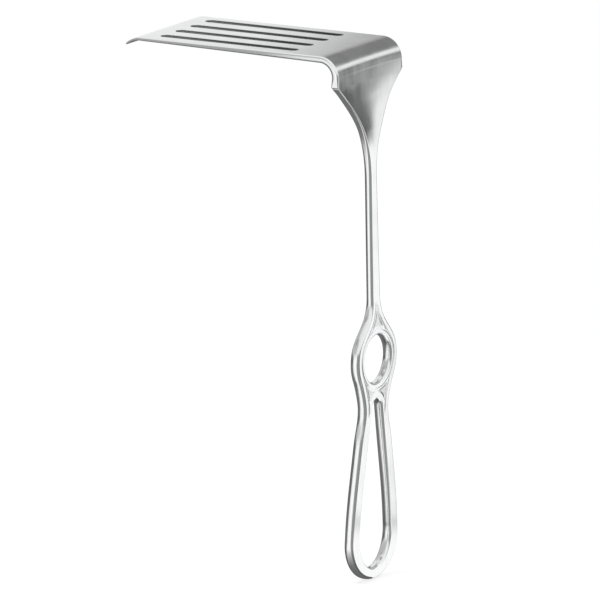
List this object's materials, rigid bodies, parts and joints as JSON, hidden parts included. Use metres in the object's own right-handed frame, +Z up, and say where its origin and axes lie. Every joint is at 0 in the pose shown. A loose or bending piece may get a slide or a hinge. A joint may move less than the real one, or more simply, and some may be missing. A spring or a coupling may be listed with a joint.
{
  "type": "rib retractor",
  "caption": "Hand-held surgical retractor: a slotted, bent-over blade with a turned-down lip on a slim steel handle with a finger ring and a teardrop grip loop.",
  "frame": {"origin": "centre of the finger ring, where the hand holds the handle", "axes": "+Z up along the handle, -X the way the blade reaches out, Y across the blade"},
  "size_m": [0.1184, 0.061, 0.251],
  "materials": {
    "blade_steel": "satin polished stainless steel with brighter rounded edges",
    "weld_steel": "weld filler ground flush and polished over",
    "handle_steel": "bright satin stainless steel, glass-bead matt in the recessed webs"
  },
  "bodies": {
    "root": {"blade_plate": "blade_steel", "weld_seam": "weld_steel", "handle_forging": "handle_steel"}
  },
  "joints": []
}
